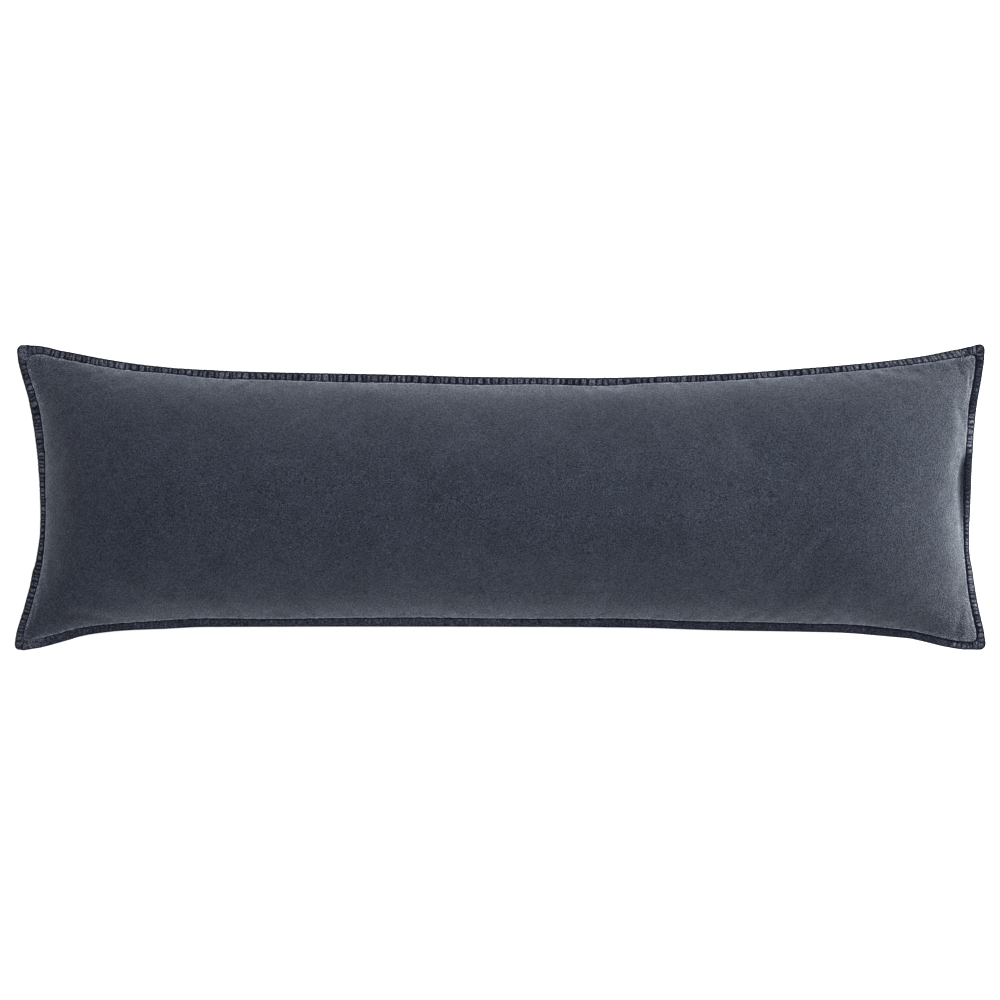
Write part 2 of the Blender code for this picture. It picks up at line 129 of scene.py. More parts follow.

# Patches of painted light and painted shade on the front panel, where puckers and lamps light it unevenly.
# x, y: middle. wide, tall: half its size along X and Y. wear: how much paler, or darker below 0. Lengths in
# mm.
PaintedLightPatch = namedtuple("PaintedLightPatch", "x y wide tall wear")
PAINTED_LIGHT_PATCHES = rows_of(
    PaintedLightPatch,
    (58, 140, 120, 11, 0.105),
    (331, 135, 20, 11, -0.12),
    (285, -10, 90, 60, 0.025),
    (250, -133, 210, 13, -0.08),
    (-591, 113, 13, 16, 0.12),
    (-572, -20, 12, 60, -0.08),
    (588, 150, 26, 30, 0.05),
    (322, 157, 24, 8, 0.15),
    (-160, 149, 100, 5, 0.13),
    (540, 140, 28, 22, 0.05),
    (574, -128, 32, 26, 0.06),
    (-39, -151, 90, 6, 0.07),
)

# The soft folds beside the right end's seam. share: how far along the end from its far corner.
# width: how far inside the seam the fold stands, in mm. drop: share of its height that the cover
# loses between seam and fold.
FoldPlace = namedtuple("FoldPlace", "share width drop")
UPPER_FOLD = rows_of(
    FoldPlace,
    (0.140, 3.5, 0.00),
    (0.170, 5.0, 0.08),
    (0.200, 6.9, 0.12),
    (0.226, 9.5, 0.12),
    (0.257, 12.0, 0.07),
    (0.290, 14.0, 0.00),
)
LOWER_FOLD = rows_of(
    FoldPlace,
    (0.310, 0.5, 0.00),
    (0.340, 1.0, 0.45),
    (0.370, 2.6, 0.75),
    (0.400, 5.2, 0.75),
    (0.430, 6.8, 0.75),
    (0.480, 6.8, 0.72),
    (0.540, 6.0, 0.62),
    (0.600, 5.0, 0.40),
    (0.670, 3.0, 0.00),
)
FOLDS = (UPPER_FOLD, LOWER_FOLD)
FOLD_RISE = 7.0 * MM          # over how far the cover rises at a fold
FOLD_LINE = 1.5 * MM          # half the width of the paler line on the top of a fold
FOLD_TOP = 0.7                # where that line runs, as a share of the rise past the fold's width
FOLD_SHADE_END = (0.1, 0.75)  # where the painted shade of the low strip fades out, as such shares
FOLD_SEEN = 30 * MM           # how far from the seam points are looked at for a fold
# How much paler the line on the top of a fold is made.
FOLD_TOP_PALENESS = 0.04
FOLD_SHADE = 1.6              # painted shade: how dark the cover is in the low strip between seam and fold
WRINKLE_HEIGHT = 0.9 * MM     # small wrinkles between seam and fold
WRINKLE_SIZE = 3.2 * MM
WRINKLE_START = (0.5, 2.0)    # over how far from the seam they begin, in mm

# The folded trim
TRIM_WIDTH = 9.5 * MM         # at the corners
TRIM_GAP = 0.3 * MM
TRIM_SEEN = 20 * MM           # how near to the seam the solid trim's points are looked for
TRIM_WINDOW = 4               # cross-sections over which its width is evened out, each way
REACH_SPREAD = 2              # cross-sections that one of those points counts for, each way
REACH_LEAST = 0.72            # share of the width below which no point was found at a place
SEWN_IN = 1.0 * MM            # how far the trim reaches in between the panels
TIP_SEWN_IN = 2.2 * MM        # how much further it does so at the panels' tips
TIP_REACH = 7 * MM
TRIM_WALL = 0.5 * MM          # thickness of the velvet itself
STRIP_STEP = 1.0 * MM         # distance between two cross-sections
CORNER_GAP = 0.45 * MM
CORNER_STEPS = 24
FAR_SQUARENESS = 3.4          # of the long strip's two corners: 2 is round, more is squarer
NEAR_SQUARENESS = 2.6
LONG_STRIP_TAIL = 39 * MM     # how far the long strip runs on along the closing side
STRIP_LAP = 1.5 * MM          # how far the closing side's edge runs on inside the long strip
SQUARE_STEPS = 12             # cross-sections over each end of the left strip
FAR_END_ROUNDING = 0.8        # radius of the left strip's rounded ends, as a share of its width
NEAR_END_ROUNDING = 0.6
FAR_END_LAP = 2.3 * MM        # how far the left strip's ends reach right of the seam
NEAR_END_LAP = -0.5 * MM
SQUARE_LIFT = 0.5 * MM        # how far the left strip's ends lie on top of what they cover
SQUARE_LIFT_STEPS = 3         # cross-sections over which they rise that far
SQUARE_LAP_STEPS = 4          # and over which their inner edge goes over to its lap
CLOSING_LAP = 1.8 * MM        # how far the closing side's edge runs on under the left strip

# Ribs that washing has pulled into the trim
RIB_UNEVEN = 0.42
RIB_WIDER = (-0.6, 1.0)       # limits of how much narrower or wider a rib is, as shares of that
RIB_HEIGHT = 1.3 * MM
RIB_HEIGHTS = (0.55, 1.0)     # limits of a rib's height, its paleness from wear and painted light, and how far up it that starts
RIB_WEARS = (0.45, 1.0)
RIB_WEAR_STARTS = (0.15, 0.48)
RIB_WEAR_FADE = 0.2           # share of half a rib over which that paleness fades in
RIB_SLANT = 0.22              # how far a rib may lean either way, as a share of its length
RIB_FLATNESS = 2.4            # 2 would be a round ridge, a larger number a flat-topped one
RIB_THIN = 0.3                # share of the ribs that are thin
THIN_PITCH = 0.55             # their share of the pitch
RIB_OVERRUN = 20 * MM         # how far ribs are laid out past a strip's ends
PLAIN_SMOOTHING = 2.2         # how fast paleness without ribs smooths the ribs' own shape, and the most that it does
PLAIN_SMOOTHEST = 0.8         # that it does
EDGE_SCALLOP = 0.4 * MM       # how far a groove pulls the fold in
SCALLOP_LEVEL = 0.6           # height on a rib at which the fold is neither in nor out
EDGE_PITCH = 2.7 * MM         # distance between the fine dents along the fold
EDGE_DENT = 0.22 * MM         # their depth
EDGE_DARK = 0.5               # how far, in mm, the fold's dark line widens at a dent
FLUTTER = math.radians(7)     # how far the trim waves up and down
FLUTTER_SIZE = 60 * MM
PLAIN_FLUTTER = 0.5           # share of it on the plain edge
DARK_FADE = 0.7               # how far, in mm, a dark line fades out to each side of its edge
LINE_SHADE = 0.18             # how much darker a ribbed strip's dark lines are: painted shade beside the seam, the same along the fold
DARK_AT_FOLD = 1.6            # how far, in mm, the dark line along the fold reaches in
# along: share of the strip's length. pitch: between ribs, in mm. wear: how pale the ribs are, partly worn
# and partly painted light set by how brightly each stretch is lit, the grooves left dark as painted shade.
# plain: how pale the
# strip is where it has no ribs. dark: how far the painted shade beside the seam reaches out from the trim's
# hidden
# edge, in mm. lean: which way the ribs lean.
RibZone = namedtuple("RibZone", "along pitch wear plain dark lean", defaults=(0.0,))
LONG_STRIP_RIBS = rows_of(
    RibZone,
    (0.000, 7.0, 0.80, 0.25, 2.2),
    (0.015, 7.6, 1.00, 0.08, 2.2),
    (0.090, 8.0, 0.95, 0.04, 2.2),
    (0.200, 8.0, 0.95, 0.00, 2.2),
    (0.300, 7.6, 0.84, 0.00, 2.2),
    (0.520, 8.0, 0.88, 0.00, 2.2, 0.1),
    (0.600, 7.8, 1.00, 0.00, 2.2, 0.2),
    (0.650, 7.4, 1.00, 0.00, 2.4, 0.4),
    (0.715, 6.4, 1.52, 0.00, 2.4, 0.8),
    (0.731, 6.2, 1.65, 0.00, 2.4, 0.6),
    (0.735, 6.2, 0.18, 0.00, 3.0),
    (0.742, 6.2, 0.95, 0.00, 3.8),
    (0.757, 6.2, 0.28, 0.00, 4.2),
    (0.795, 6.2, 0.20, 0.00, 3.6),
    (0.800, 6.2, 1.60, 0.00, 2.8),
    (0.820, 6.2, 1.45, 0.00, 2.6),
    (0.826, 6.2, 0.12, 0.00, 3.0),
    (0.852, 6.2, 0.12, 0.00, 3.0),
    (0.870, 5.4, 0.68, 0.00, 3.6),
    (0.905, 5.6, 1.35, 0.00, 3.8),
    (0.958, 6.2, 1.30, 0.00, 4.4),
    (0.966, 6.2, 0.70, 0.08, 4.6),
    (0.975, 6.8, 0.80, 0.13, 4.0),
    (1.000, 7.0, 0.60, 0.10, 3.6),
)
LEFT_STRIP_RIBS = rows_of(
    RibZone,
    (0.00, 7.0, 0.60, 0.38, 2.2),
    (0.04, 7.0, 0.95, 0.16, 2.2),
    (0.12, 6.8, 0.90, 0.03, 2.6),
    (0.30, 6.4, 0.72, 0.00, 2.8),
    (0.50, 6.2, 1.36, 0.00, 2.6),
    (0.62, 6.6, 1.12, 0.00, 2.6),
    (0.75, 7.6, 0.78, 0.02, 2.8),
    (0.91, 8.0, 0.60, 0.03, 2.2),
    (0.94, 8.0, 0.40, 0.12, 2.2),
    (0.96, 8.0, 0.00, 0.75, 2.2),
    (1.00, 8.0, 0.00, 0.75, 2.2),
)
# The closing side, from its right-hand to its left-hand end
CLOSING_EDGE = rows_of(
    RibZone,
    (0.000, 8.0, 0.0, 0.34, 3.6),
    (0.018, 8.0, 0.0, 0.15, 3.6),
    (0.150, 8.0, 0.0, 0.15, 3.0),
    (0.450, 8.0, 0.0, 0.20, 2.8),
    (0.520, 8.0, 0.0, 0.25, 2.6),
    (0.900, 8.0, 0.0, 0.21, 2.6),
    (0.968, 8.0, 0.0, 0.22, 2.0),
    (0.988, 8.0, 0.0, 0.55, 1.0),
    (1.000, 8.0, 0.0, 0.55, 1.0),
)

# Cross-section of the folded trim, from the seam to the fold. reach: share of the width.
# half: half the thickness in mm. rib: share of a rib's height that shows there.
RingRow = namedtuple("RingRow", "reach half rib")
TRIM_RING = rows_of(
    RingRow,
    (0.00, 0.70, 0.00),
    (0.09, 0.70, 0.20),
    (0.17, 0.72, 0.35),
    (0.26, 0.95, 0.80),
    (0.38, 1.10, 1.00),
    (0.52, 1.15, 1.00),
    (0.66, 1.08, 0.95),
    (0.76, 0.92, 0.65),
    (0.83, 0.68, 0.20),
    (0.90, 0.90, 0.30),
    (0.96, 0.82, 0.25),
    (0.99, 0.50, 0.10),
    (1.00, 0.00, 0.00),
)
STITCH_ROW = 8                # the row of TRIM_RING that the topstitching runs along
DROOP_POINTS = 6              # corners of the solid trim that give its droop at one place
DROOP_WINDOW = 15             # cross-sections over which the droop is evened out, each way

# Topstitching
STITCH_PITCH = 3.0 * MM
STITCH_LENGTH = 2.2 * MM
THREAD = 0.45 * MM
STITCH_SIDES = 6
STITCH_RINGS = 5
STITCH_PROUD = 0.3            # how far a stitch's middle stands up, as a share of its thread
STITCH_ARCH = 1.6             # how fast it sinks into the cloth towards its ends

# The dark stitches that hold the left strip's far end down: two rows, from the seam's corner
# outwards along Y and along X, in mm from that corner.
CORNER_ROWS = (
    ((4.3, 0.2), (3.5, 9.2)),
    ((-0.6, -1.0), (13.0, -2.0)),
)
CORNER_PITCH = 2.6 * MM
CORNER_STITCH = 2.1 * MM
CORNER_THREAD = 1.0 * MM
CORNER_POINTS = 12            # points of such a row
CORNER_NEAR = 8               # points of the trim that give its height at one of them

# Finishes
# Noise patterns of the velvet: scale per metre, detail, roughness, and the limits of the noise that
# are spread out from 0 to 1. Each finish has its own scale for the nap.
CLOUDS = (14.0, 3.0, 0.55, (0.3, 0.7))
MOTTLE = (62.0, 2.0, 0.5, (0.3, 0.7))
NAP = (1.0, 0.5, (0.28, 0.72))
MOTTLE_SHARE = 0.08           # of the flecks, the rest of which is nap
MOTTLE_RELIEF = 0.5           # height of the mottling against the nap's
NAP_DEPTH = 0.8 * MM
TONE_POWER = 2.0              # how much darker than lighter the flecks are
CLOUD_TONE = (0.20, 0.855)    # brightness from the darkest cloud to the palest, and at the darkest
FLECKED_WEAR = (0.7, 0.65)    # the same for wear and painted light, between its flecks
NAP_ROUGHNESS = (0.2, 0.75)   # and for the roughness
SHADE_POWERS = (1.0, 0.96, 0.86)    # of red, green and blue: shaded velvet keeps more of its blue
SLANT_SHEEN_POWER = 3.1             # how late the slant colour, a painted sheen, takes over as the cloth turns away
SHEEN_ROUGHNESS = 0.4
SHEEN_TINT = (0.82, 0.87, 0.98, 1)
SPECULAR_TINT = (0.66, 0.78, 1.0, 1)
STREAKS_PER_METRE = (600.0, 110.0, 1.0)
STREAK_LIMITS = (0.35, 0.65)
STREAK_GAIN = 0.6             # how much a streak may add, as a share of what it may take away
# base and the next two: colours as woven, where worn or painted paler, and seen at a slant, the last a
# painted
# sheen. The next: the most that the slant colour takes over. streaks: how strongly the wear is broken up.
# mask and
# the last: what the mesh calls its places of wear and painted light, and its painted sheen beside the seam.
Look = namedtuple(
    "Look",
    "base worn slant slant_most nap_size contrast bump sheen shine streaks mask glow",
    defaults=(0.0, "", ""),
)
PANEL_LOOK = Look(
    base=(0.0284, 0.0334, 0.0490), worn=(0.150, 0.164, 0.198), slant=(0.42, 0.46, 0.53), slant_most=0.30,
    nap_size=720.0, contrast=1.15, bump=1.6, sheen=0.12, shine=0.10, mask="worn", glow="glow",
)
TRIM_LOOK = Look(
    base=(0.0070, 0.0084, 0.0152), worn=(0.092, 0.102, 0.136), slant=(0.03, 0.034, 0.05), slant_most=0.10,
    nap_size=560.0, contrast=0.95, bump=0.9, sheen=0.01, shine=0.03, mask="worn", streaks=0.5,
)
THREAD_LOOK = Look(
    base=(0.045, 0.05, 0.065), worn=(0.1, 0.1, 0.12), slant=(0.06, 0.065, 0.08), slant_most=0.2,
    nap_size=900.0, contrast=0.3, bump=0.3, sheen=0.1, shine=0.1,
)
DARK_THREAD_LOOK = Look(
    base=(0.004, 0.0045, 0.009), worn=(0.02, 0.02, 0.03), slant=(0.01, 0.01, 0.02), slant_most=0.1,
    nap_size=900.0, contrast=0.3, bump=0.3, sheen=0.0, shine=0.05,
)

# Camera and light, as in a product picture from straight above
PICTURE_SPAN = 1.2993         # metres across the picture at the height of the seam
LENS = 250.0
SENSOR = 36.0
PICTURE_CENTRE = Vector((-0.0002, -0.0036, 0.0))
SEEN_TO = 50                  # metres from the camera
WORLD_LIGHT = 0.43
FLOOR_SIZE = 14
FLOOR_SHADE = 0.86
FLOOR_ROUGHNESS = 0.9
FLOOR_LIGHT = 0.65
# place, target: where a lamp stands and the point it is aimed at. size: in metres. power: in watts.
Lamp = namedtuple("Lamp", "name place target size power colour")
WHITE = (1.0, 1.0, 1.0)
WARM = (1.0, 0.97, 0.86)
LAMPS = rows_of(
    Lamp,
    ("far_light", (0.1, 1.7, 0.32), (0.05, 0.15, 0.05), (1.0, 0.25), 6.5, WHITE),
    ("right_light", (1.5, 0.1, 0.22), (0.6, 0.0, 0.08), (0.3, 0.3), 24, WARM),
    ("high_light", (0.75, 0.3, 1.7), (0.3, 0.0, 0.1), (1.2, 1.2), 27, WHITE),
    ("high_left_light", (-0.45, 0.1, 1.8), (-0.3, 0.0, 0.1), (1.2, 0.8), 11.5, WHITE),
)


def deselect():
    """Leaves nothing selected."""
    bpy.ops.object.select_all(action="DESELECT")


def take(thing):
    """Selects one object alone."""
    deselect()
    thing.select_set(True)
    bpy.context.view_layer.objects.active = thing


def named(thing, name):
    """Names an object and its mesh."""
    thing.name = name
    thing.data.name = name
    return thing


def smooth_shaded(thing):
    """Shades a mesh smooth."""
    take(thing)
    bpy.ops.object.shade_smooth()


def apply_modifier(thing, kind, **settings):
    """Adds a modifier to the selected object and applies it."""
    modifier = thing.modifiers.new(kind.lower(), kind)
    for name, value in settings.items():
        setattr(modifier, name, value)
    bpy.ops.object.modifier_apply(modifier=modifier.name)


def edit_all(*steps):
    """Runs edit-mode steps on the whole of the active mesh."""
    bpy.ops.object.mode_set(mode="EDIT")
    bpy.ops.mesh.select_all(action="SELECT")
    for step in steps:
        step()
    bpy.ops.object.mode_set(mode="OBJECT")


def coordinates(thing):
    """A mesh's points as an array."""
    places = np.empty(len(thing.data.vertices) * 3)
    thing.data.vertices.foreach_get("co", places)
    return places.reshape(-1, 3)


def place_points(thing, places):
    """Moves a mesh's points to the places of an array."""
    thing.data.vertices.foreach_set("co", np.asarray(places, dtype=float).ravel())
    thing.data.update()


def point_attribute(thing, name, values):
    """Stores one number for each point of a mesh."""
    thing.data.attributes.new(name, "FLOAT", "POINT").data.foreach_set("value", np.ravel(values))


# The seam, read from the solids


def sewn_rim():
    """The points where the panels meet the trim, in order round the pillow, at mid height."""
    stacks = {}
    for x, y, z in np.unique(np.round(coordinates(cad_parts["pillow_body"]), 5), axis=0):
        stacks.setdefault((x, y), []).append(z)
    rim = [
        Vector((x, y, sum(heights) / 2))
        for (x, y), heights in stacks.items()
        if len(heights) == 2 and abs(heights[1] - heights[0] - SEAM_WALL) < SEAM_WALL / 10
    ]
    return sorted(rim, key=lambda point: math.atan2(point.y, point.x))


def near_corner(places, corner, reach):
    """A share for each point: 1 at a corner as seen from above, and 0 well beyond the reach."""
    away = np.hypot(places[:, 0] - corner.x, places[:, 1] - corner.y)
    return np.exp(-((away / reach) ** 2))


def drawn_in(places):
    """Places with the tips of the panels drawn in from the trim's corners."""
    moved = np.array(places, dtype=float)
    for tuck in TUCKS:
        share = near_corner(places, rim_corner(*tuck.side), tuck.reach * MM)
        moved[:, 0] -= tuck.side[0] * tuck.along * MM * share
        moved[:, 1] -= tuck.side[1] * tuck.across * MM * share
    return moved


def drawn_point(point):
    """One such place."""
    return Vector(drawn_in(np.array([point]))[0])


def side_between(first, second):
    """The rim's points from one corner to another, clockwise as seen from above."""
    start, end = RIM.index(second), RIM.index(first)
    count = (end - start) % len(RIM) + 1
    return [RIM[(start + number) % len(RIM)] for number in range(count)][::-1]


def run_along(points):
    """The distance run at each of a row of points."""
    return np.concatenate([[0], np.cumsum([(b - a).length for a, b in zip(points, points[1:])])])


def drawn_smooth(points, step):
    """Points at even steps on a smooth curve through a row of points."""
    ends = [2 * points[0] - points[1], *points, 2 * points[-1] - points[-2]]
    fine = []
    for a, b, c, d in zip(ends, ends[1:], ends[2:], ends[3:]):
        count = max(2, round((c - b).length / step * 4))
        for number in range(count):
            t = number / count
            place = 2 * b + (c - a) * t
            place += (2 * a - 5 * b + 4 * c - d) * t**2
            place += (3 * b - a - 3 * c + d) * t**3
            fine.append(place / 2)
    fine.append(points[-1])
    run = run_along(fine)
    places = np.linspace(0, run[-1], max(2, round(run[-1] / step)) + 1)
    table = np.array(fine)
    return [Vector([np.interp(place, run, table[:, axis]) for axis in range(3)]) for place in places]


RIM = sewn_rim()
SEAM_HEIGHT = sum(point.z for point in RIM) / len(RIM)


def rim_corner(along, across):
    """The rim's corner in the direction of two signs."""
    reach = CAD_BOX[1]
    return max(RIM, key=lambda point: along * point.x / reach.x + across * point.y / reach.y)


CORNERS = [rim_corner(*side) for side in ((-1, 1), (1, 1), (1, -1), (-1, -1))]
FAR_LEFT, FAR_RIGHT, NEAR_RIGHT, NEAR_LEFT = CORNERS
# The far side, right end, near side and left end, with away from the pillow on their left
SIDES = [
    drawn_smooth(side_between(first, second), STRIP_STEP)
    for first, second in zip(CORNERS, [*CORNERS[1:], FAR_LEFT])
]
RIGHT_END = SIDES[1]
ALL_ROUND = np.concatenate(SIDES)


def solid_places(names):
    """The corners of some solids as one array."""
    return np.concatenate([coordinates(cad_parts[name]) for name in names])


def search_tree(places):
    """A search tree of points."""
    tree = kdtree.KDTree(len(places))
    for number, place in enumerate(places):
        tree.insert(place, number)
    tree.balance()
    return tree


def flat_tree(places):
    """A search tree of points as seen from straight above."""
    return search_tree(np.array(places) * (1, 1, 0))


STRIP_PLACES = solid_places(CAD_STRIPS)
STRIP_POINTS = search_tree(STRIP_PLACES)


def evened(values, window):
    """A row of numbers, evened out over a window to each side."""
    padded = np.pad(values, window, mode="edge")
    return np.convolve(padded, np.ones(2 * window + 1) / (2 * window + 1), mode="valid")


# Cross-sections of the trim

# inner: a point of the trim's hidden edge. outer: the point of the fold that belongs to it.
Station = namedtuple("Station", "inner outer")


def trim_reaches(points, outs):
    """How far the solid trim reaches out from each point of a side, seen from straight above."""
    flat = flat_tree(points)
    reaches = np.zeros(len(points))
    for x, y, z in STRIP_PLACES:
        place = Vector((x, y, 0))
        foot, number, distance = flat.find(place)
        if distance < TRIM_SEEN and 0 < number < len(points) - 1:
            reach = (place - foot).dot(outs[number])
            for near in range(max(number - REACH_SPREAD, 0), min(number + REACH_SPREAD + 1, len(points))):
                reaches[near] = max(reaches[near], reach)
    known = np.flatnonzero(reaches > REACH_LEAST * TRIM_WIDTH)
    return evened(np.interp(np.arange(len(points)), known, reaches[known]), TRIM_WINDOW)


def side_stations(points):
    """One cross-section at each point of a side."""
    outs = []
    for before, after in zip([points[0], *points], [*points[1:], points[-1]]):
        along = after - before
        outs.append(Vector((-along.y, along.x, 0)).normalized())
    stations = []
    for point, out, reach in zip(points, outs, trim_reaches(points, outs)):
        from_tip = min((point - points[0]).length, (point - points[-1]).length)
        sewn_in = SEWN_IN + TIP_SEWN_IN * math.exp(-((from_tip / TIP_REACH) ** 2))
        stations.append(Station(drawn_point(point) - out * sewn_in, point + out * reach))
    return stations


def way_out(point, station):
    """The level direction from a seam point to a cross-section's fold."""
    out = station.outer - point
    return Vector((out.x, out.y, 0)).normalized()


def corner_stations(corner, before, after, squareness):
    """Cross-sections fanned round a corner, wider on the diagonal."""
    stations = []
    first, last = way_out(corner, before), way_out(corner, after)
    inner = drawn_point(corner) - (first + last) * TIP_SEWN_IN
    for step in range(1, CORNER_STEPS):
        angle = math.pi / 2 * step / CORNER_STEPS
        out = (first * math.cos(angle) + last * math.sin(angle)).normalized()
        square = math.cos(angle) ** squareness + math.sin(angle) ** squareness
        width = TRIM_WIDTH * square ** (-1 / squareness)
        stations.append(Station(inner, corner + out * (CORNER_GAP + width)))
    return stations


def square_stations(corner, across, rounding_share, lap):
    """Cross-sections that carry the left strip straight on past a corner, to a rounded end."""
    stations = []
    radius = rounding_share * TRIM_WIDTH
    seam = drawn_point(corner)
    fold = corner + Vector((-TRIM_GAP - TRIM_WIDTH, 0, 0))
    end = corner.y + across * (TRIM_GAP + TRIM_WIDTH)
    for step in range(SQUARE_STEPS + 1):
        reach = math.sin(math.pi / 2 * step / SQUARE_STEPS)
        into_round = max(radius - (1 - reach) * TRIM_WIDTH, 0)
        rounding = radius - math.sqrt(radius**2 - into_round**2)
        lift = SQUARE_LIFT * min(step / SQUARE_LIFT_STEPS, 1)
        inside = lap + (SEWN_IN + TIP_SEWN_IN - lap) * (1 - min(step / SQUARE_LAP_STEPS, 1))
        inner = Vector((seam.x + inside, seam.y + (end - seam.y) * reach, seam.z + lift))
        outer = Vector((fold.x + rounding, fold.y + (end - fold.y) * reach, fold.z + lift))
        stations.append(Station(inner, outer))
    return stations


def kept_right(stations, limit):
    """Cross-sections with no point left of a limit, for strips that start under the left strip."""
    return [
        Station(*[Vector((max(point.x, limit), point.y, point.z)) for point in station])
        for station in stations
    ]


def run_on(stations, lap):
    """The closing side's cross-sections, run on to the left under the end of the left strip."""
    last = stations[-1]
    inner = last.inner - Vector((lap, 0, 0))
    middle = Station((last.inner + inner) / 2, Vector((last.inner.x, last.outer.y, last.outer.z)))
    return [*stations, middle, Station(inner, Vector((inner.x, last.outer.y, last.outer.z)))]


def droops(stations):
    """How far the solid trim droops at each cross-section, as a smooth row of angles."""
    angles = []
    for station in stations:
        near = [hit[0] for hit in STRIP_POINTS.find_n(station.outer, DROOP_POINTS)]
        height = sum(point.z for point in near) / DROOP_POINTS
        level = math.hypot(*(station.outer - station.inner).xy)
        angles.append(math.atan2(station.inner.z - height, level))
    return evened(angles, DROOP_WINDOW)


def mid_run(stations):
    """The distance along a strip's middle at each cross-section."""
    return run_along([(station.inner + station.outer) / 2 for station in stations])


def rib_field(run, reach, zones, seed):
    """Each point of a strip: its height on its rib, from 0 to 1, its paleness from wear and painted light,
    and its place along the ribs.
    """
    chance = random.Random(seed)
    stops = column(zones, "along") * run[-1]

    def zoned(field, where):
        return np.interp(where, stops, column(zones, field))

    def drawn(limits):
        return np.array([chance.uniform(*limits) for number in range(len(grooves))])

    grooves = [-RIB_OVERRUN]
    while grooves[-1] < run[-1] + RIB_OVERRUN:
        thin = chance.random() < RIB_THIN
        share = THIN_PITCH if thin else 1 + RIB_UNEVEN * chance.uniform(*RIB_WIDER)
        grooves.append(grooves[-1] + zoned("pitch", grooves[-1]) * MM * share)
    grooves = np.array(grooves)
    plain = zoned("plain", run)
    heights = drawn(RIB_HEIGHTS)
    wear = drawn(RIB_WEARS) * zoned("wear", grooves)
    starts = drawn(RIB_WEAR_STARTS)
    slants = RIB_SLANT * drawn((-1, 1)) + zoned("lean", grooves)
    slant = np.interp(run, grooves, slants)
    place = run[:, None] + slant[:, None] * (reach[None, :] - 0.5) * TRIM_WIDTH
    number = np.clip(np.searchsorted(grooves, place) - 1, 0, len(grooves) - 2)
    t = np.clip((place - grooves[number]) / (grooves[number + 1] - grooves[number]), 0, 1)
    ridge = 1 - np.abs(2 * t - 1) ** RIB_FLATNESS
    bar = between((1 - np.abs(2 * t - 1) - starts[number]) / RIB_WEAR_FADE, (0, 1))
    smooth = 1 - np.clip(plain * PLAIN_SMOOTHING, 0, PLAIN_SMOOTHEST)
    worn = np.maximum(wear[number] * bar, plain[:, None])
    return heights[number] * ridge * smooth[:, None], worn, place


def between(values, limits):
    """A smooth share from 0 at the first limit to 1 at the second."""
    t = np.clip((values - limits[0]) / (limits[1] - limits[0]), 0, 1)
    return t * t * (3 - 2 * t)


def grid_piece(name, rows, columns):
    """A flat grid with so many points each way, as the start of a strip of cloth."""
    deselect()
    bpy.ops.mesh.primitive_grid_add(x_subdivisions=columns - 1, y_subdivisions=rows - 1, size=1)
    return named(bpy.context.object, name)


def folded_strip(name, stations, zones, seed):
    """A strip of velvet, folded at its outer edge, with both raw edges hidden in the seam."""
    rows = [*TRIM_RING, *TRIM_RING[-2::-1]]
    reach = column(rows, "reach")
    sign = np.array([1] * len(TRIM_RING) + [-1] * (len(TRIM_RING) - 1))
    run = mid_run(stations)
    ribs, wear, along = rib_field(run, reach, zones, seed)
    ribbed = any(zone.wear > 0 for zone in zones)
    ribs = ribs * ribbed
    lift = column(rows, "half") * MM + RIB_HEIGHT * ribs * column(rows, "rib")
    turn = droops(stations)
    places = np.empty((len(stations), len(rows), 3))
    widths = np.empty(len(stations))
    dents = 0.5 + 0.5 * np.cos(math.tau * run / EDGE_PITCH)
    for number, station in enumerate(stations):
        level = station.outer - station.inner
        level.z = 0
        widths[number] = level.length
        out = np.array(level.normalized())
        wave = noise.noise(Vector((run[number] / FLUTTER_SIZE, seed, 0)))
        angle = turn[number] + FLUTTER * wave * (1 if ribbed else PLAIN_FLUTTER)
        length = widths[number] / math.cos(angle)
        down = out * math.cos(angle) - np.array((0, 0, math.sin(angle)))
        up = out * math.sin(angle) + np.array((0, 0, math.cos(angle)))
        scallop = EDGE_SCALLOP * (ribs[number, len(TRIM_RING) - 1] - SCALLOP_LEVEL)
        scallop -= EDGE_DENT * dents[number]
        across = reach * (length + scallop * ribbed)
        places[number] = (
            np.array(station.inner) + across[:, None] * down + (sign * lift[number])[:, None] * up
        )
    piece = grid_piece(name, len(stations), len(rows))
    place_points(piece, places.reshape(-1, 3))
    across_mm = reach[None, :] * widths[:, None] / MM
    # How far the painted shade beside the seam reaches over the strip.
    dark = np.interp(run / run[-1], column(zones, "along"), column(zones, "dark"))
    from_seam_shade = across_mm - dark[:, None]
    from_fold = widths[:, None] / MM - across_mm - EDGE_DARK * dents[:, None] * ribbed - DARK_AT_FOLD
    band = between(from_seam_shade, (-DARK_FADE, DARK_FADE)) * between(from_fold, (-DARK_FADE, DARK_FADE))
    # Ribs paler from wear and painted light, with painted shade in the dark line beside the seam and the
    # same darkening along the fold.
    point_attribute(piece, "worn", wear * band - LINE_SHADE * (1 - band) * ribbed)
    lay_out(piece, np.stack([along, np.broadcast_to(across_mm * MM, along.shape)], axis=2).reshape(-1, 2))
    take(piece)
    edit_all(lambda: bpy.ops.mesh.normals_make_consistent(inside=False))
    if outward_share(piece) < 0.5:
        edit_all(bpy.ops.mesh.flip_normals)
    apply_modifier(piece, "SOLIDIFY", thickness=TRIM_WALL, offset=-1)
    smooth_shaded(piece)
    return piece, places[:, STITCH_ROW], places[:, len(rows) - 1 - STITCH_ROW]


def lay_out(piece, flat):
    """Gives a mesh a UV map from one flat place for each of its points."""
    corners = np.empty(len(piece.data.loops), dtype=int)
    piece.data.loops.foreach_get("vertex_index", corners)
    piece.data.uv_layers.active.data.foreach_set("uv", flat[corners].ravel())


def outward_share(piece):
    """The share of a strip's first few upper faces that point up."""
    upper = [face.normal.z > 0 for face in list(piece.data.polygons)[: len(TRIM_RING) // 2]]
    return sum(upper) / len(upper)


# Sewing


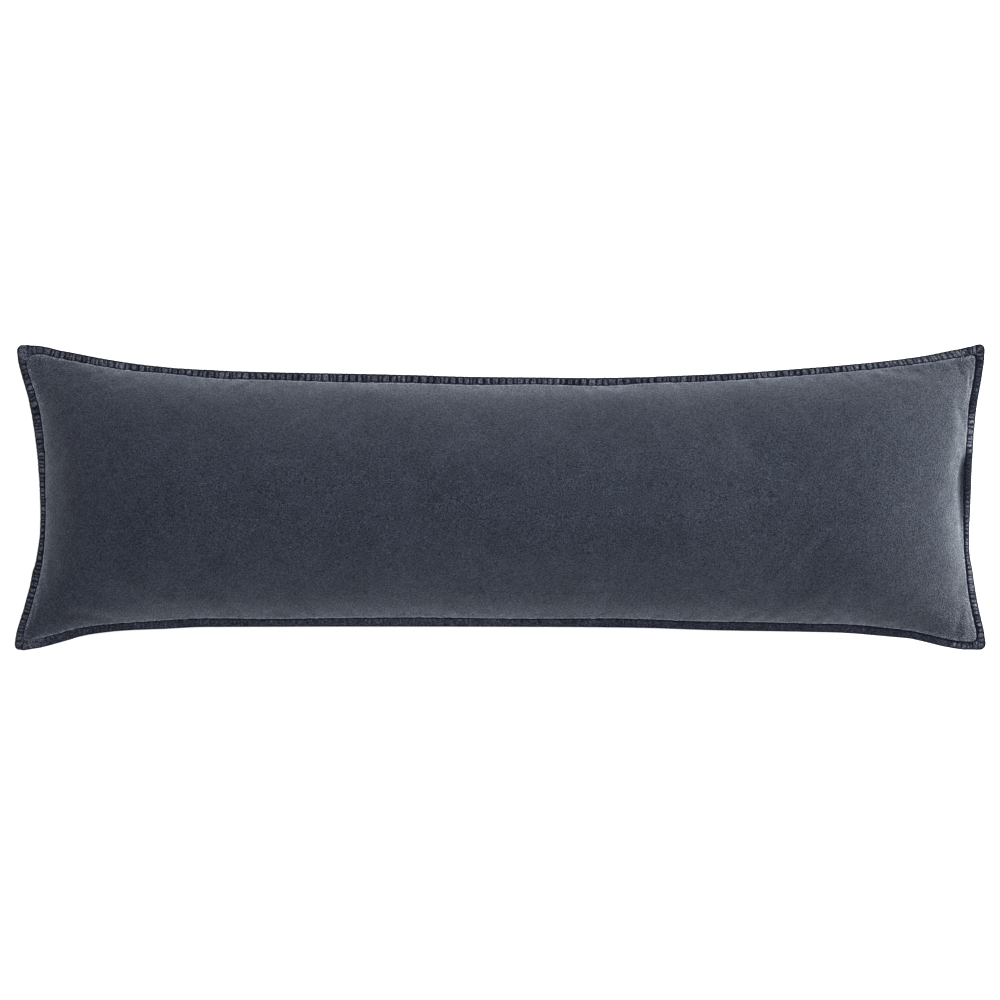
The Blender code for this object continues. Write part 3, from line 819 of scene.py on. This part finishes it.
def stitches(name, paths, pitch, length, thread):
    """Rows of short threads that lie along paths on the cloth."""
    starts = []
    for number, (path, up) in enumerate(paths):
        run = np.concatenate([[0], np.cumsum(np.linalg.norm(np.diff(path, axis=0), axis=1))])
        starts += [(number, run, middle) for middle in np.arange(pitch / 2, run[-1] - pitch / 2, pitch)]
    deselect()
    bpy.ops.mesh.primitive_uv_sphere_add(segments=STITCH_SIDES, ring_count=STITCH_RINGS, radius=1)
    piece = named(bpy.context.object, name)
    edit_all(
        lambda: bpy.ops.transform.rotate(value=math.pi / 2, orient_axis="Y", center_override=(0, 0, 0))
    )
    apply_modifier(piece, "ARRAY", count=len(starts))
    shape = coordinates(piece).reshape(len(starts), -1, 3)
    local = shape[0] / np.abs(shape[0]).max(axis=0)
    places = np.empty_like(shape)
    for index, (number, run, middle) in enumerate(starts):
        path, up = paths[number]
        along = middle + local[:, 0] * length / 2
        spots = np.stack([np.interp(along, run, path[:, axis]) for axis in range(3)], axis=1)
        ahead = spots[np.argmax(along)] - spots[np.argmin(along)]
        side = np.cross(ahead, (0, 0, 1))
        side /= np.linalg.norm(side)
        arch = thread * STITCH_PROUD * (1 - STITCH_ARCH * local[:, 0] ** 2)
        rise = up * (local[:, 2] * thread / 2 + arch)
        places[index] = spots + side * local[:, 1:2] * thread / 2 + rise[:, None] * np.array((0, 0, 1))
    place_points(piece, places.reshape(-1, 3))
    smooth_shaded(piece)
    return piece


def corner_paths(pieces):
    """The far left corner's rows of stitches, laid on top of the trim."""
    places = np.concatenate([coordinates(piece) for piece in pieces])
    flat = flat_tree(places)
    paths = []
    for (first_x, first_y), (last_x, last_y) in CORNER_ROWS:
        path = []
        for share in np.linspace(0, 1, CORNER_POINTS):
            x = FAR_LEFT.x + (first_x + (last_x - first_x) * share) * MM
            y = FAR_LEFT.y + (first_y + (last_y - first_y) * share) * MM
            near = [hit[1] for hit in flat.find_n((x, y, 0), CORNER_NEAR)]
            path.append((x, y, max(places[number][2] for number in near)))
        paths.append((np.array(path), 1))
    return paths


# The stuffed cover


def soft_copy(node, name):
    """A merged copy of a solid in quads, as a piece of its own."""
    take(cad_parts[node])
    bpy.ops.object.duplicate()
    piece = named(bpy.context.object, name)
    piece.parent = None
    for key in list(piece.keys()):
        del piece[key]
    piece.data.materials.clear()
    edit_all(
        lambda: bpy.ops.mesh.remove_doubles(threshold=0.00001),
        lambda: bpy.ops.mesh.tris_convert_to_quads(face_threshold=math.pi, shape_threshold=math.pi),
        lambda: bpy.ops.mesh.normals_make_consistent(inside=False),
    )
    return piece


def crease_rim(piece):
    """Holds the sewn rim sharp while the cover is subdivided."""
    keys = {(round(point.x, 5), round(point.y, 5)) for point in RIM}
    on_rim = [(round(v.co.x, 5), round(v.co.y, 5)) in keys for v in piece.data.vertices]
    crease = piece.data.attributes.new("crease_edge", "FLOAT", "EDGE")
    for edge in piece.data.edges:
        a, b = edge.vertices
        level = abs(piece.data.vertices[a].co.z - piece.data.vertices[b].co.z) < SEAM_WALL * 0.9
        crease.data[edge.index].value = 1.0 if on_rim[a] and on_rim[b] and level else 0.0


def rim_places(places):
    """How far each point lies from the sewn rim, and where along the rim that is."""
    tree = search_tree(drawn_in(ALL_ROUND))
    hits = [tree.find(place) for place in places]
    return np.array([hit[2] for hit in hits]), np.array([hit[1] for hit in hits]) * STRIP_STEP


def level_from_rim(places):
    """How far each point lies from the sewn rim, seen from straight above."""
    tree = flat_tree(drawn_in(ALL_ROUND))
    return np.array([tree.find(place)[2] for place in places * (1, 1, 0)])


def row_noise(run, size, seed):
    """A smooth uneven row of numbers from about -1 to 1 along the rim."""
    return np.array([noise.noise(Vector((place / size, seed, 0))) for place in run]) * NOISE_GAIN


def finer_near_seam(piece):
    """Halves the cover's faces near the seam, so that small puckers can show."""
    from_rim, run = rim_places(coordinates(piece))
    near = from_rim < FINE_REACH
    take(piece)
    edit_all(lambda: bpy.ops.mesh.select_all(action="DESELECT"))
    for face in piece.data.polygons:
        face.select = all(near[corner] for corner in face.vertices)
    bpy.ops.object.mode_set(mode="EDIT")
    bpy.ops.mesh.select_mode(type="FACE")
    bpy.ops.mesh.subdivide(number_cuts=1, smoothness=0.9, ngon=True)
    bpy.ops.object.mode_set(mode="OBJECT")


def gathered_at_seam(places, from_rim, run):
    """Places with the small puckers of the sewing, and with an edge that wanders a little."""
    middle = sum(RIM, Vector()) / len(RIM)
    moved = np.array(places, dtype=float)
    fade = np.exp(-from_rim / GATHER_REACH) * between(from_rim / MM, GATHER_START)
    above = np.where(places[:, 2] > middle.z, 1, -1)
    moved[:, 2] += above * GATHER_HEIGHT * row_noise(run, GATHER_PITCH, 3) * fade
    inward = np.array(middle.xy) - places[:, :2]
    inward[:, 0] *= np.where(np.abs(inward[:, 0]) > CAD_BOX[1].x - END_ZONE, 1, SIDE_PULL)
    inward /= np.maximum(np.linalg.norm(inward, axis=1), 1e-9)[:, None]
    wander = SEAM_WANDER * row_noise(run, SEAM_WANDER_SIZE, 7) * np.exp(-from_rim / GATHER_REACH)
    moved[:, :2] += inward * wander[:, None]
    return moved


def fold_places(places, rows):
    """For each point that a fold at the right end touches: its number, distance and fold place."""
    seam = drawn_in(np.array(RIGHT_END))
    tree = flat_tree(seam)
    shares = np.linspace(0, 1, len(seam))
    widths = np.interp(shares, column(rows, "share"), column(rows, "width")) * MM
    drops = np.interp(shares, column(rows, "share"), column(rows, "drop"), 0, 0)
    for number, (x, y, z) in enumerate(places):
        foot, near, distance = tree.find((x, y, 0))
        if drops[near] > 0 and distance < FOLD_SEEN and z > seam[near][2]:
            yield number, distance, widths[near], drops[near], seam[near][2]


def folded_at_right(places, rows):
    """Places with the front panel lying low and wrinkled between the right end's seam and a fold."""
    moved = np.array(places, dtype=float)
    for number, distance, width, drop, height in fold_places(places, rows):
        risen = between(distance, (width - FOLD_RISE / 2, width + FOLD_RISE / 2))
        low = height + (places[number][2] - height) * (1 - drop * (1 - risen))
        wrinkle = noise.noise(Vector(places[number]) / WRINKLE_SIZE) * WRINKLE_HEIGHT
        near_edge = between(distance / MM, WRINKLE_START)
        moved[number][2] = low + wrinkle * (1 - risen) * near_edge
    return moved


def fold_marks(places, rows):
    """For each point, how near the top of a fold it is, and how far in the low strip beside it, which gets
    painted shade.
    """
    top, low = np.zeros(len(places)), np.zeros(len(places))
    for number, distance, width, drop, height in fold_places(places, rows):
        from_top = distance - width - FOLD_RISE * FOLD_TOP
        top[number] = drop * math.exp(-((from_top / FOLD_LINE) ** 2))
        limits = [width + FOLD_RISE * share for share in FOLD_SHADE_END]
        low[number] = drop**2 * (1 - between(distance, limits))
    return top, low


def swell(piece, held):
    """Lets the cover swell and relax between its seams, and caps how far it moves."""
    shape = coordinates(piece)
    start = shape.copy()
    start[:, 2] = np.where(held, shape[:, 2], SEAM_HEIGHT + (shape[:, 2] - SEAM_HEIGHT) * SLACK_START)
    place_points(piece, start)
    group = piece.vertex_groups.new(name="held")
    group.add([int(number) for number in np.flatnonzero(held)], 1.0, "REPLACE")
    cloth = piece.modifiers.new("swell", "CLOTH")
    cloth.settings.vertex_group_mass = group.name
    for name, value in SWELL_CLOTH.items():
        setattr(cloth.settings, name, value)
    cloth.settings.effector_weights.gravity = 0
    cloth.collision_settings.use_collision = False
    for number in range(1, SWELL_FRAMES + 1):
        bpy.context.scene.frame_set(number)
    grown = piece.evaluated_get(bpy.context.evaluated_depsgraph_get())
    moved = coordinates(grown) - shape
    piece.modifiers.remove(cloth)
    piece.vertex_groups.remove(group)
    bpy.context.scene.frame_set(1)
    length = np.linalg.norm(moved, axis=1)
    moved *= (SWELL_CAP * np.tanh(length / SWELL_CAP) / np.maximum(length, 1e-9))[:, None]
    settled = shape + moved
    settled[:, 2] = np.where(shape[:, 2] < PRESSED_BELOW, shape[:, 2], np.maximum(settled[:, 2], 0))
    place_points(piece, settled)


def panel_painted_light(places, from_rim, run):
    """How pale, or dark below 0, the panels are painted at each point: painted highlight beside the seam,
    painted light towards the corners and in patches, painted shade in patches and beside the folds, and a
    paler line on each fold.
    """
    least, most = RIM_FLECKS
    flecks = least + (most - least) * between(row_noise(run, FLECK_PITCH, 11), FLECK_LIMITS)
    edge = between(from_rim / MM, RIM_BAND_START) * (1 - between(from_rim / MM, RIM_BAND_END))
    # Painted highlight in a band beside the seam.
    wear = edge * RIM_PAINTED_HIGHLIGHT * flecks
    # Painted light towards the corners.
    for corner in CORNER_PAINTED_LIGHT:
        wear += corner.wear * near_corner(places, rim_corner(*corner.side), corner.reach * MM)
    # Patches of painted light and painted shade on the front panel.
    front = places[:, 2] > SEAM_HEIGHT
    for spot in PAINTED_LIGHT_PATCHES:
        away = (places[:, :2] / MM - (spot.x, spot.y)) / (spot.wide, spot.tall)
        wear += spot.wear * front * np.exp(-np.sum(away**2, axis=1))
    # A paler line on the top of each fold, and painted shade in the low strip beside it.
    for rows in FOLDS:
        top, low = fold_marks(places, rows)
        wear = wear * (1 - low) + FOLD_TOP_PALENESS * top - FOLD_SHADE * low
    return wear


def seam_painted_sheen(places):
    """How much painted sheen brightens the nap at each point, beside the seam where it is bent."""
    limits = [CAD_BOX[1].x - reach * MM for reach in END_SHEEN_REACH]
    at_left, at_right = between(-places[:, 0], limits), between(places[:, 0], limits)
    glow = np.exp(-((level_from_rim(places) / RIM_SHEEN_REACH) ** 2))
    glow *= 1 + (LEFT_PAINTED_SHEEN - 1) * at_left + (RIGHT_PAINTED_SHEEN - 1) * at_right
    for corner in (FAR_LEFT, NEAR_LEFT):
        glow *= 1 - near_corner(places, corner, TIP_SHEEN_REACH)
    return glow


def pillow_cover():
    """The stuffed cover: both panels, drawn in at the seams, flat where it lies."""
    piece = soft_copy("pillow_body", "pillow_cover")
    crease_rim(piece)
    take(piece)
    apply_modifier(piece, "SUBSURF", levels=COVER_LEVELS, render_levels=COVER_LEVELS)
    places = drawn_in(coordinates(piece))
    place_points(piece, places)
    swell(piece, (rim_places(places)[0] < HELD_RIM) | (places[:, 2] < PRESSED_BELOW))
    finer_near_seam(piece)
    places = coordinates(piece)
    from_rim, run = rim_places(places)
    places = gathered_at_seam(places, from_rim, run)
    for rows in FOLDS:
        places = folded_at_right(places, rows)
    place_points(piece, places)
    # Painted light and shade on the panels, and painted sheen beside the seam.
    point_attribute(piece, "worn", panel_painted_light(places, from_rim, run))
    point_attribute(piece, "glow", seam_painted_sheen(places))
    smooth_shaded(piece)
    return piece


# Finishes


def fill(tree, socket, value):
    """Gives a socket a fixed value, or what another socket puts out."""
    if isinstance(value, (int, float, tuple)):
        socket.default_value = value
    else:
        tree.links.new(value, socket)


def maths(tree, operation, a, b, c=0.0):
    """A sum worked out by a node."""
    node = tree.nodes.new("ShaderNodeMath")
    node.operation = operation
    for socket, value in zip(node.inputs, (a, b, c)):
        fill(tree, socket, value)
    return node.outputs[0]


def blend(tree, mode, factor, a, b):
    """Two colours blended."""
    node = tree.nodes.new("ShaderNodeMix")
    node.data_type = "RGBA"
    node.blend_type = mode
    fill(tree, node.inputs["Factor"], factor)
    fill(tree, node.inputs[6], a)
    fill(tree, node.inputs[7], b)
    return node.outputs[2]


def pattern(tree, where, scale, detail, roughness, limits, results=(0.0, 1.0)):
    """A noise pattern, spread out from its limits to its results."""
    texture = tree.nodes.new("ShaderNodeTexNoise")
    for name, value in (("Vector", where), ("Scale", scale), ("Detail", detail), ("Roughness", roughness)):
        fill(tree, texture.inputs[name], value)
    spread = tree.nodes.new("ShaderNodeMapRange")
    tree.links.new(texture.outputs["Fac"], spread.inputs["Value"])
    for name, value in zip(("From Min", "From Max", "To Min", "To Max"), (*limits, *results)):
        spread.inputs[name].default_value = value
    return spread.outputs["Result"]


def stored(tree, name):
    """The number that a mesh holds at each point under a name."""
    attribute = tree.nodes.new("ShaderNodeAttribute")
    attribute.attribute_name = name
    return attribute.outputs["Fac"]


def velvet_group():
    """Washed velvet: cloudy colour and fine nap, paler where worn or painted light, darker with painted
    shade, and brighter with painted sheen beside a seam.
    """
    group = bpy.data.node_groups.new("washed_velvet", "ShaderNodeTree")
    for way, kind, names in (
        ("INPUT", "Color", ("Base", "Worn Color")),
        ("INPUT", "Float", ("Worn", "Glow", "Nap Size", "Contrast", "Bump")),
        ("OUTPUT", "Color", ("Color", "Tone")),
        ("OUTPUT", "Float", ("Roughness",)),
        ("OUTPUT", "Vector", ("Normal",)),
    ):
        for name in names:
            group.interface.new_socket(name, in_out=way, socket_type="NodeSocket" + kind)
    nodes, links = group.nodes, group.links
    given = nodes.new("NodeGroupInput").outputs
    made = nodes.new("NodeGroupOutput").inputs
    where = nodes.new("ShaderNodeTexCoord").outputs["Object"]
    work_out = partial(maths, group)
    cloudy = pattern(group, where, *CLOUDS)
    mottled = pattern(group, where, *MOTTLE)
    nap = pattern(group, where, given["Nap Size"], *NAP)
    fleck = work_out("MULTIPLY_ADD", mottled, MOTTLE_SHARE, work_out("MULTIPLY", nap, 1 - MOTTLE_SHARE))
    tone = work_out("MULTIPLY_ADD", work_out("SUBTRACT", fleck, 0.5), given["Contrast"], 1.0)
    tone = work_out("POWER", work_out("MAXIMUM", tone, 0.0), TONE_POWER)
    tone = work_out("MULTIPLY", tone, work_out("MULTIPLY_ADD", cloudy, *CLOUD_TONE))
    # Painted sheen beside the seam.
    tone = work_out("MULTIPLY", tone, work_out("MULTIPLY_ADD", given["Glow"], RIM_PAINTED_SHEEN, 1.0))
    # Painted shade where the mask is below 0.
    shade = work_out("ADD", work_out("MINIMUM", given["Worn"], 0.0), 1.0)
    shade = work_out("MAXIMUM", shade, 0.0)
    shades = nodes.new("ShaderNodeCombineColor")
    for socket, power in zip(shades.inputs, SHADE_POWERS):
        links.new(work_out("MULTIPLY", tone, work_out("POWER", shade, power)), socket)
    # Paler where worn and where light is painted on.
    worn = work_out("MULTIPLY", given["Worn"], work_out("MULTIPLY_ADD", fleck, *FLECKED_WEAR))
    links.new(blend(group, "MIX", worn, given["Base"], given["Worn Color"]), made["Color"])
    links.new(shades.outputs["Color"], made["Tone"])
    links.new(work_out("MULTIPLY_ADD", nap, *NAP_ROUGHNESS), made["Roughness"])
    bump = nodes.new("ShaderNodeBump")
    bump.inputs["Distance"].default_value = NAP_DEPTH
    links.new(given["Bump"], bump.inputs["Strength"])
    links.new(work_out("MULTIPLY_ADD", mottled, MOTTLE_RELIEF, nap), bump.inputs["Height"])
    links.new(bump.outputs["Normal"], made["Normal"])
    return group


VELVET = velvet_group()


def streaked(tree, worn, strength):
    """A mask of wear and painted light, broken up into fine streaks that run across the strip, from seam to
    fold.
    """
    flat = tree.nodes.new("ShaderNodeUVMap")
    flat.uv_map = "UVMap"
    stretch = tree.nodes.new("ShaderNodeMapping")
    stretch.inputs["Scale"].default_value = STREAKS_PER_METRE
    tree.links.new(flat.outputs["UV"], stretch.inputs["Vector"])
    results = (1 - strength, 1 + strength * STREAK_GAIN)
    streaks = pattern(tree, stretch.outputs["Vector"], 1.0, 1.0, 0.5, STREAK_LIMITS, results)
    return maths(tree, "MULTIPLY", worn, streaks)


def velvet(name, look):
    """One velvet finish of the pillow."""
    material = bpy.data.materials.new(name)
    material.use_nodes = True
    tree = material.node_tree
    shader = tree.nodes["Principled BSDF"]
    worn = stored(tree, look.mask) if look.mask else 0.0
    if look.streaks:
        worn = streaked(tree, worn, look.streaks)
    cloth = tree.nodes.new("ShaderNodeGroup")
    cloth.node_tree = VELVET
    for socket, value in (
        ("Base", (*look.base, 1)),
        ("Worn Color", (*look.worn, 1)),
        ("Worn", worn),
        ("Glow", stored(tree, look.glow) if look.glow else 0.0),
        ("Nap Size", look.nap_size),
        ("Contrast", look.contrast),
        ("Bump", look.bump),
    ):
        fill(tree, cloth.inputs[socket], value)
    # Painted sheen: the colour turns paler as the cloth is seen at a slant.
    weight = tree.nodes.new("ShaderNodeLayerWeight")
    weight.inputs["Blend"].default_value = 0.5
    slant = maths(tree, "POWER", weight.outputs["Facing"], SLANT_SHEEN_POWER)
    slant = maths(tree, "MINIMUM", slant, look.slant_most)
    colour = blend(tree, "MIX", slant, cloth.outputs["Color"], (*look.slant, 1))
    for socket, value in (
        ("Base Color", blend(tree, "MULTIPLY", 1.0, colour, cloth.outputs["Tone"])),
        ("Roughness", cloth.outputs["Roughness"]),
        ("Normal", cloth.outputs["Normal"]),
        ("Specular IOR Level", look.shine),
        ("Specular Tint", SPECULAR_TINT),
        ("Sheen Weight", look.sheen),
        ("Sheen Roughness", SHEEN_ROUGHNESS),
        ("Sheen Tint", SHEEN_TINT),
    ):
        fill(tree, shader.inputs[socket], value)
    return material


# Floor, light and camera


def plain_floor():
    """A pale floor under the pillow."""
    deselect()
    bpy.ops.mesh.primitive_plane_add(size=FLOOR_SIZE, location=(0, 0, 0))
    floor = bpy.context.object
    floor.name = "floor"
    material = bpy.data.materials.new("pale_floor")
    material.use_nodes = True
    shader = material.node_tree.nodes["Principled BSDF"].inputs
    for socket, value in (
        ("Base Color", (FLOOR_SHADE, FLOOR_SHADE, FLOOR_SHADE, 1)),
        ("Roughness", FLOOR_ROUGHNESS),
        ("Emission Color", (1, 1, 1, 1)),
        ("Emission Strength", FLOOR_LIGHT),
    ):
        fill(material.node_tree, shader[socket], value)
    floor.data.materials.append(material)


def soft_light(lamp):
    """A large studio light aimed at a point."""
    data = bpy.data.lights.new(lamp.name, "AREA")
    data.shape = "RECTANGLE"
    data.size, data.size_y = lamp.size
    data.energy = lamp.power
    data.color = lamp.colour
    light = bpy.data.objects.new(lamp.name, data)
    bpy.context.scene.collection.objects.link(light)
    light.location = lamp.place
    light.rotation_euler = (Vector(lamp.target) - Vector(lamp.place)).to_track_quat("-Z", "Y").to_euler()


def studio():
    """Camera straight above, soft light from the far side and the right, and a pale world."""
    scene = bpy.context.scene
    data = bpy.data.cameras.new("camera")
    data.lens = LENS
    data.sensor_width = SENSOR
    camera = bpy.data.objects.new("camera", data)
    scene.collection.objects.link(camera)
    height = PICTURE_SPAN * LENS / SENSOR
    camera.location = PICTURE_CENTRE + Vector((0, 0, SEAM_HEIGHT + height))
    data.clip_end = SEEN_TO
    scene.camera = camera
    for lamp in LAMPS:
        soft_light(lamp)
    world = bpy.data.worlds.new("studio")
    scene.world = world
    world.use_nodes = True
    sky = world.node_tree.nodes["Background"].inputs
    sky["Color"].default_value = (1, 1, 1, 1)
    sky["Strength"].default_value = WORLD_LIGHT
    scene.view_settings.view_transform = "Standard"


def main():
    """Dresses the solids, and sets them in the studio."""
    cover = pillow_cover()
    far, right, near, left = [side_stations(side) for side in SIDES]
    tail = round(LONG_STRIP_TAIL / STRIP_STEP)
    lap = round(STRIP_LAP / STRIP_STEP)
    long_stations = [
        *kept_right(far, drawn_point(FAR_LEFT).x),
        *corner_stations(FAR_RIGHT, far[-1], right[0], FAR_SQUARENESS),
        *right,
        *corner_stations(NEAR_RIGHT, right[-1], near[0], NEAR_SQUARENESS),
        *near[:tail],
    ]
    closing_stations = run_on(kept_right(near[tail - lap :], drawn_point(NEAR_LEFT).x)[::2], CLOSING_LAP)
    left_stations = [
        *square_stations(NEAR_LEFT, -1, NEAR_END_ROUNDING, NEAR_END_LAP)[::-1],
        *left[1:-1],
        *square_stations(FAR_LEFT, 1, FAR_END_ROUNDING, FAR_END_LAP),
    ]
    long_strip, long_top, long_under = folded_strip(
        "puckered_long_strip", long_stations, LONG_STRIP_RIBS, seed=5
    )
    left_strip, left_top, left_under = folded_strip(
        "puckered_left_strip", left_stations, LEFT_STRIP_RIBS, seed=8
    )
    closing = folded_strip("plain_closing_edge", closing_stations, CLOSING_EDGE, seed=13)[0]
    rows = [(long_top, 1), (left_top, 1), (long_under, -1), (left_under, -1)]
    topstitching = stitches("topstitching", rows, STITCH_PITCH, STITCH_LENGTH, THREAD)
    rows = corner_paths([long_strip, left_strip])
    corner_stitching = stitches("corner_stitching", rows, CORNER_PITCH, CORNER_STITCH, CORNER_THREAD)
    panel = velvet("panel_velvet_look", PANEL_LOOK)
    trim = velvet("trim_velvet_look", TRIM_LOOK)
    for sewing, look in ((topstitching, THREAD_LOOK), (corner_stitching, DARK_THREAD_LOOK)):
        sewing.data.materials.append(velvet(sewing.name + "_look", look))
        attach(sewing, "root")
    for piece, material, slot, node in (
        (cover, panel, "panel_velvet", "pillow_body"),
        (long_strip, trim, "trim_velvet", "trim_long_strip"),
        (left_strip, trim, "trim_velvet", "trim_left_strip"),
        (closing, trim, "trim_velvet", "trim_closing_side"),
    ):
        piece.data.materials.append(material)
        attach(piece, "root")
        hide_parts(node)
    for strip, stations, held in (
        (long_strip, long_stations, "gathered"),
        (left_strip, left_stations, "gathered"),
        (closing, closing_stations, "folded"),
    ):
        width = sum(math.hypot(*(station.outer - station.inner).xy) for station in stations) / len(stations)
        length = float(mid_run(stations)[-1])
    plain_floor()
    studio()


main()
